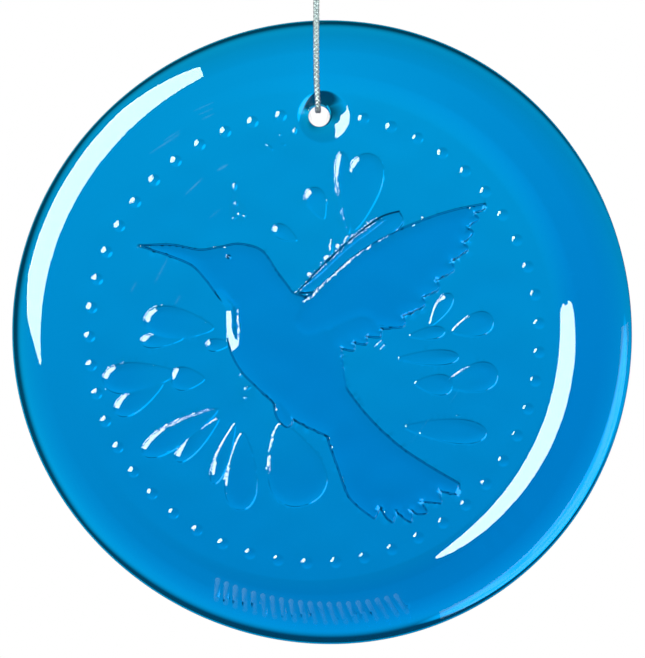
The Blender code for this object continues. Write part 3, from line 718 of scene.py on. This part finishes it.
def triangulated(plan, bore_radius):
    """The plan's points and its triangles outside the bore, with where each given point went."""
    points, lines = plan
    points = [point / MM for point in points]
    flat, _, faces, origins, _, _ = delaunay_2d_cdt(points, lines, [], 0, MERGE_DISTANCE, True)
    flat = [point * MM for point in flat]
    went = {start: place for place, starts in enumerate(origins) for start in starts}
    in_bore = bore_radius * math.cos(math.pi / BORE_POINTS)
    kept = []
    for face in faces:
        middle = sum((flat[corner] for corner in face), Vector((0.0, 0.0))) / 3
        if (middle - HOLE_CENTRE).length > in_bore:
            kept.append(face)
    return flat, kept, went


def loop_at(shape, points, height):
    """Corners over the back at this height, one for each point."""
    return [shape.verts.new((point.x, BACK_Y - height, point.y)) for point in points]


def bridge(shape, front, behind):
    """A band of faces from one closed loop to the loop behind it."""
    for index in range(len(front)):
        after = (index + 1) % len(front)
        shape.faces.new((front[index], behind[index], behind[after], front[after]))


def lip(shape, outward, height):
    """A loop round the hole's back edge. Its rounding is wide where the cord lies and narrow below."""
    corners = []
    for step in range(BORE_POINTS):
        angle = 2 * math.pi * step / BORE_POINTS
        share = (1 + math.sin(angle)) / 2
        radius = BORE_FOOT_RADIUS + (BORE_EDGE_RADIUS - BORE_FOOT_RADIUS) * share
        place = HOLE_CENTRE + turned(BORE_RADIUS + radius * outward, angle)
        corners.append(shape.verts.new((place.x, BACK_Y - radius * height, place.y)))
    return corners


def glass_disc():
    """The one piece of moulded glass."""
    bars, haze = strokes(), streaks()
    pads = bird() + petals() + pearls() + bars + small_marks()
    shape = bmesh.new()
    flat, faces, went = triangulated(front_plan(pads + haze), BORE_RADIUS)
    places = np.array(flat)
    heights = glass_height(places, pads)
    layer = shape.verts.layers.float.new("frost")
    front = [shape.verts.new((point.x, BACK_Y - height, point.y)) for point, height in zip(flat, heights)]
    frost = np.maximum(frosting(places, bars, STROKE_FROST), frosting(places, haze, STREAK_FROST))
    for corner, level in zip(front, frost):
        corner[layer] = level
    for face in faces:
        shape.faces.new([front[corner] for corner in face])

    # The edge and the bore run from the front to the flat back, each by way of its rounding.
    rim = [front[went[index]] for index in range(OUTLINE_POINTS)]
    bore = [front[went[OUTLINE_POINTS + index]] for index in range(BORE_POINTS)]
    land = lip(shape, 0.0, 1.0)
    bridge(shape, land, bore)
    bore = land
    for step in range(1, ARC_STEPS + 1):
        turn = math.pi / 2 * step / ARC_STEPS
        inward, height = 1 - math.cos(turn), 1 - math.sin(turn)
        edge = loop_at(shape, outline(BACK_EDGE_RADIUS * inward), BACK_EDGE_RADIUS * height)
        bridge(shape, rim, edge)
        rim = edge
        behind = lip(shape, inward, height)
        bridge(shape, behind, bore)
        bore = behind
    back = rim + bore
    plan = [Vector((corner.co.x, corner.co.z)) for corner in back]
    plan = two_loops(plan[:OUTLINE_POINTS], plan[OUTLINE_POINTS:])
    _, faces, went = triangulated(plan, BORE_RADIUS)
    corners = {place: back[start] for start, place in went.items()}
    for face in faces:
        shape.faces.new([corners[corner] for corner in reversed(face)])
    mesh = bpy.data.meshes.new("moulded_glass")
    shape.to_mesh(mesh)
    shape.free()
    mesh.shade_smooth()
    mesh.materials.append(blue_glass())
    piece = bpy.data.objects.new("moulded_glass", mesh)
    bpy.context.collection.objects.link(piece)
    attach(piece, "root")
    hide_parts("glass_disc")


def blue_glass():
    """Soda-lime glass coloured blue in the pot, pressed and fire-polished.

    It is clear and glossy, and deeper in colour where it is thicker. The strokes and a few streaks are dull,
    as where the mould left its grain.
    """
    material = bpy.data.materials.new("fire-polished blue glass")
    material.use_nodes = True
    tree = material.node_tree
    shader = tree.nodes["Principled BSDF"]
    shader.inputs["Base Color"].default_value = (1.0, 1.0, 1.0, 1.0)
    frost = node(tree, "ShaderNodeAttribute", {"attribute_name": "frost"})
    tree.links.new(frost.outputs["Fac"], shader.inputs["Roughness"])
    shader.inputs["IOR"].default_value = GLASS_IOR
    shader.inputs["Transmission Weight"].default_value = 1.0
    tint = node(tree, "ShaderNodeVolumeAbsorption",
                inputs={"Color": GLASS_TINT, "Density": GLASS_DENSITY})
    tree.links.new(tint.outputs["Volume"], tree.nodes["Material Output"].inputs["Volume"])
    return material


def plait(shape, route, layer):
    """Three woven strands along a route of points, with filaments laid along each in its own map."""
    reached = [0.0]
    for start, end in zip(route, route[1:]):
        reached.append(reached[-1] + (end - start).length)
    steps = round(reached[-1] / PLAIT_PITCH * STEPS_PER_PITCH)
    places, sides = [], []
    side = Vector((1.0, 0.0, 0.0))
    stretch = 0
    for step in range(steps + 1):
        at = reached[-1] * step / steps
        while stretch < len(route) - 2 and reached[stretch + 1] < at:
            stretch += 1
        share = (at - reached[stretch]) / (reached[stretch + 1] - reached[stretch])
        along = (route[stretch + 1] - route[stretch]).normalized()
        side = (side - along * side.dot(along)).normalized()
        places.append(route[stretch].lerp(route[stretch + 1], share))
        sides.append((side.copy(), along.cross(side)))
    for strand in range(STRAND_COUNT):
        line = []
        for step, (place, (wide, deep)) in enumerate(zip(places, sides)):
            turn = 2 * math.pi * (step / STEPS_PER_PITCH + strand / STRAND_COUNT)
            aside = wide * PLAIT_WIDTH * math.sin(turn)
            line.append(place + aside + deep * PLAIT_DEPTH * math.sin(2 * turn))
        strand_tube(shape, line, sides, layer)


def strand_tube(shape, line, sides, layer):
    """One strand: a closed round tube along its line."""
    loops = []
    for place, (wide, deep) in zip(line, sides):
        loop = []
        for side in range(STRAND_SIDES):
            turn = 2 * math.pi * side / STRAND_SIDES
            out = (wide * math.cos(turn) + deep * math.sin(turn)) * STRAND_RADIUS
            loop.append(shape.verts.new(place + out))
        loops.append(loop)
    for step in range(len(loops) - 1):
        for side in range(STRAND_SIDES):
            after = (side + 1) % STRAND_SIDES
            face = shape.faces.new((loops[step][side], loops[step][after],
                                    loops[step + 1][after], loops[step + 1][side]))
            corners = ((side, step), (side + 1, step), (side + 1, step + 1), (side, step + 1))
            for corner, (around, along) in zip(face.loops, corners):
                corner[layer].uv = (around / STRAND_SIDES, along / STEPS_PER_PITCH)
    shape.faces.new(list(reversed(loops[0])))
    shape.faces.new(loops[-1])


def cord_piece(name, routes, node_name, material):
    """A piece of plaited cord along one or more routes, in place of its solid."""
    shape = bmesh.new()
    layer = shape.loops.layers.uv.new("along the strand")
    for route in routes:
        plait(shape, route, layer)
    bmesh.ops.recalc_face_normals(shape, faces=shape.faces)
    mesh = bpy.data.meshes.new(name)
    shape.to_mesh(mesh)
    shape.free()
    mesh.shade_smooth()
    mesh.materials.append(material)
    piece = bpy.data.objects.new(name, mesh)
    bpy.context.collection.objects.link(piece)
    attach(piece, "root")
    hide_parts(node_name)
    return piece


def overhand(side):
    """The route of one of the cord's two ends through the knot, on this side of the other."""
    lift = KNOT_LIFT * side
    rise = []
    for index, (x, y, z) in enumerate(KNOT_RISE):
        apart = KNOT_RISE_APART * side * (1 - index / (len(KNOT_RISE) - 1))
        rise.append(Vector((x, y - apart, z)))
    start, end, high, low = KNOT_WRAP
    wrap = []
    for step in range(1, KNOT_WRAP_STEPS):
        share = step / KNOT_WRAP_STEPS
        turn = math.radians(start + (end - start) * share)
        height = high + (low - high) * share + lift
        wrap.append(Vector((KNOT_WRAP_RADIUS * math.cos(turn), KNOT_WRAP_RADIUS * math.sin(turn), height)))
    tuck = []
    for index, (x, y, z) in enumerate(KNOT_TUCK):
        aside = KNOT_TUCK_APART * side if index < KNOT_TUCK_FIRST else 0.0
        tuck.append(Vector((x * side + aside, y, z + KNOT_TUCK_LIFT * lift)))
    route = rise + wrap + tuck
    return [point * MM for point in smooth_run(route, KNOT_STEPS) + [route[-1]]]


def cord_and_knot():
    """The loop of cord and the overhand knot that closes it."""
    route = [point * MM for point in smooth_run(CORD_ROUTE, CORD_STEPS) + [Vector(CORD_ROUTE[-1])]]
    material = silver_thread()
    cord = cord_piece("plaited_cord", [route], "hanging_cord", material)
    knot = cord_piece("overhand_knot", [overhand(1), overhand(-1)], "cord_knot", material)


def silver_thread():
    """Polyester wrapped in aluminised film, plaited: bright grey, with a hard glint on each filament."""
    material = bpy.data.materials.new("silver metallic thread")
    material.use_nodes = True
    tree = material.node_tree
    shader = tree.nodes["Principled BSDF"]
    shader.inputs["Metallic"].default_value = THREAD_METALLIC
    shader.inputs["Roughness"].default_value = THREAD_ROUGHNESS
    flat = node(tree, "ShaderNodeUVMap", {"uv_map": "along the strand"})
    # A filament is about 0.13 mm wide and lies at a slant round its strand.
    slant = node(tree, "ShaderNodeMapping",
                 inputs={"Rotation": (0.0, 0.0, FILAMENT_SLANT), "Scale": FILAMENT_STRETCH},
                 links={"Vector": flat.outputs["UV"]})
    filament = node(tree, "ShaderNodeTexWave", {"wave_type": "BANDS", "bands_direction": "X"},
                    {"Scale": 1.0, "Distortion": FILAMENT_WAVER, "Detail": 1.0},
                    {"Vector": slant.outputs["Vector"]})
    colour = node(tree, "ShaderNodeValToRGB", links={"Fac": filament.outputs["Color"]})
    colour.color_ramp.elements[0].color = srgb(THREAD_DARK)
    colour.color_ramp.elements[1].color = srgb(THREAD_LIGHT)
    tree.links.new(colour.outputs["Color"], shader.inputs["Base Color"])
    bump = node(tree, "ShaderNodeBump", inputs={"Strength": FILAMENT_BUMP, "Distance": FILAMENT_RELIEF},
                links={"Height": filament.outputs["Color"]})
    tree.links.new(bump.outputs["Normal"], shader.inputs["Normal"])
    return material


def camera():
    """A long lens straight in front of the disc."""
    data = bpy.data.cameras.new("camera")
    data.lens = LENS
    data.sensor_width = SENSOR
    thing = bpy.data.objects.new("camera", data)
    bpy.context.collection.objects.link(thing)
    distance = VIEW_HEIGHT / 2 / (SENSOR / 2 / LENS)
    thing.location = VIEW_CENTRE - Vector((0.0, distance, 0.0))
    thing.rotation_euler = (math.pi / 2, 0.0, 0.0)
    data.clip_end = CLIP_END
    bpy.context.scene.camera = thing


def surroundings():
    """A white studio. Seen through the glass, near straight behind, it is dim above, below and at the right.

    It has one bright patch there too, and mirror images show none of it.
    """
    world = bpy.data.worlds.new("white studio")
    bpy.context.scene.world = world
    world.use_nodes = True
    tree = world.node_tree
    place = node(tree, "ShaderNodeTexCoord")
    apart = node(tree, "ShaderNodeSeparateXYZ", links={"Vector": place.outputs["Generated"]})
    above = node(tree, "ShaderNodeMath", {"operation": "MULTIPLY"}, {1: BACKDROP_ABOVE},
                 {0: apart.outputs["Z"]})
    below = node(tree, "ShaderNodeMath", {"operation": "MULTIPLY"}, {1: BACKDROP_BELOW},
                 {0: apart.outputs["Z"]})
    upright = node(tree, "ShaderNodeMath", {"operation": "MAXIMUM"},
                   links={0: above.outputs[0], 1: below.outputs[0]})
    right = node(tree, "ShaderNodeMath", {"operation": "MULTIPLY"}, {1: BACKDROP_RIGHT},
                 {0: apart.outputs["X"]})
    away = node(tree, "ShaderNodeMath", {"operation": "MAXIMUM"},
                links={0: upright.outputs[0], 1: right.outputs[0]})
    dark = node(tree, "ShaderNodeMapRange", {"interpolation_type": "SMOOTHSTEP"},
                {"From Min": math.sin(DARK_FROM), "From Max": math.sin(DARK_TO),
                 "To Min": 0.0, "To Max": DARKENING}, {"Value": away.outputs[0]})
    behind = node(tree, "ShaderNodeMapRange", {"interpolation_type": "SMOOTHSTEP"},
                  {"From Min": BEHIND_NONE, "From Max": BEHIND_WHOLE, "To Min": 0.0, "To Max": 1.0},
                  {"Value": apart.outputs["Y"]})
    strips = node(tree, "ShaderNodeMath", {"operation": "MULTIPLY"},
                  links={0: dark.outputs["Result"], 1: behind.outputs["Result"]})
    clear = node(tree, "ShaderNodeMath", {"operation": "SUBTRACT"}, {0: 1.0}, {1: strips.outputs[0]})
    fall = node(tree, "ShaderNodeMapRange", links={"Value": apart.outputs["Z"]},
                inputs={"From Min": -FALL_REACH, "From Max": FALL_REACH,
                        "To Min": FALL_LOW, "To Max": FALL_HIGH})
    studio = node(tree, "ShaderNodeMath", {"operation": "MULTIPLY"},
                  links={0: clear.outputs[0], 1: fall.outputs["Result"]})
    toward = node(tree, "ShaderNodeVectorMath", {"operation": "DOT_PRODUCT"}, {1: PATCH_HEADING},
                  {0: place.outputs["Generated"]})
    patch = node(tree, "ShaderNodeMapRange", {"interpolation_type": "SMOOTHSTEP"},
                 {"From Min": math.cos(PATCH_OUTER), "From Max": math.cos(PATCH_INNER),
                  "To Min": 0.0, "To Max": PATCH_GLOW}, {"Value": toward.outputs["Value"]})
    shown = node(tree, "ShaderNodeMath", {"operation": "MAXIMUM"},
                 links={0: studio.outputs[0], 1: patch.outputs["Result"]})
    rays = node(tree, "ShaderNodeLightPath")
    through = node(tree, "ShaderNodeMath", {"operation": "MULTIPLY"},
                   links={0: rays.outputs["Is Transmission Ray"], 1: shown.outputs[0]})
    plain = node(tree, "ShaderNodeMath", {"operation": "MAXIMUM"},
                 links={0: rays.outputs["Is Camera Ray"], 1: through.outputs[0]})
    soft = node(tree, "ShaderNodeMath", {"operation": "MULTIPLY"}, {1: BACKDROP_FILL},
                {0: rays.outputs["Is Diffuse Ray"]})
    total = node(tree, "ShaderNodeMath", {"operation": "MAXIMUM"},
                 links={0: plain.outputs[0], 1: soft.outputs[0]})
    tree.links.new(total.outputs[0], tree.nodes["Background"].inputs["Strength"])
    tree.nodes["Background"].inputs["Color"].default_value = (1.0, 1.0, 1.0, 1.0)


def panel(name, azimuth, shares, glow, patchy):
    """A lit panel in front, seen only in mirror images and by what it lights. One of the two is patchy."""
    azimuth = math.radians(azimuth)
    out = Vector((math.cos(azimuth), 0.0, math.sin(azimuth)))
    across = Vector((-math.sin(azimuth), 0.0, math.cos(azimuth)))
    middle = VIEW_CENTRE + Vector((0.0, -PANEL_DISTANCE, 0.0))
    mesh = bpy.data.meshes.new(name)
    corners = [middle + (out * reach + across * aside) * PANEL_DISTANCE for reach, aside in shares]
    mesh.from_pydata(corners, [], [range(len(corners))])
    thing = bpy.data.objects.new(name, mesh)
    bpy.context.collection.objects.link(thing)
    material = bpy.data.materials.new(name + " cloth")
    material.use_nodes = True
    tree = material.node_tree
    tree.nodes.remove(tree.nodes["Principled BSDF"])
    emission = node(tree, "ShaderNodeEmission", inputs={"Strength": glow, "Color": PANEL_COLOUR})
    if patchy:
        place = node(tree, "ShaderNodeTexCoord")
        patch = node(tree, "ShaderNodeTexNoise", links={"Vector": place.outputs["Object"]},
                     inputs={"Scale": PATCHES_SCALE, "Detail": PATCHES_DETAIL,
                             "Roughness": PATCHES_ROUGHNESS})
        level = node(tree, "ShaderNodeMapRange", {"interpolation_type": "SMOOTHSTEP"},
                     {"From Min": PATCHES_EDGES[0], "From Max": PATCHES_EDGES[1],
                      "To Min": PATCHES_DARKEST * glow, "To Max": glow},
                     {"Value": patch.outputs[0]})
        tree.links.new(level.outputs["Result"], emission.inputs["Strength"])
    tree.links.new(emission.outputs["Emission"], tree.nodes["Material Output"].inputs["Surface"])
    mesh.materials.append(material)
    thing.visible_camera = False
    thing.visible_transmission = False


def floor():
    """A pale floor, far below."""
    bpy.ops.object.select_all(action="DESELECT")
    bpy.ops.mesh.primitive_circle_add(vertices=FLOOR_SIDES, radius=FLOOR_RADIUS, fill_type="NGON",
                                      location=(0.0, 0.0, FLOOR_LEVEL))
    thing = bpy.context.active_object
    thing.name = "floor"
    material = bpy.data.materials.new("matt white paint")
    material.use_nodes = True
    shader = material.node_tree.nodes["Principled BSDF"]
    shader.inputs["Base Color"].default_value = srgb(FLOOR_COLOUR)
    shader.inputs["Roughness"].default_value = FLOOR_ROUGHNESS
    thing.data.materials.append(material)
    thing.visible_transmission = False
    thing.visible_glossy = False


camera()
cord_and_knot()
glass_disc()
surroundings()
panel("upper_left_softbox", SOFTBOX_AZIMUTH, SOFTBOX_CORNERS, SOFTBOX_GLOW, False)
panel("lower_right_card", CARD_AZIMUTH, CARD_CORNERS, CARD_GLOW, True)
floor()

scene = bpy.context.scene
scene.view_settings.view_transform = "Standard"
scene.cycles.sample_clamp_indirect = 0.0
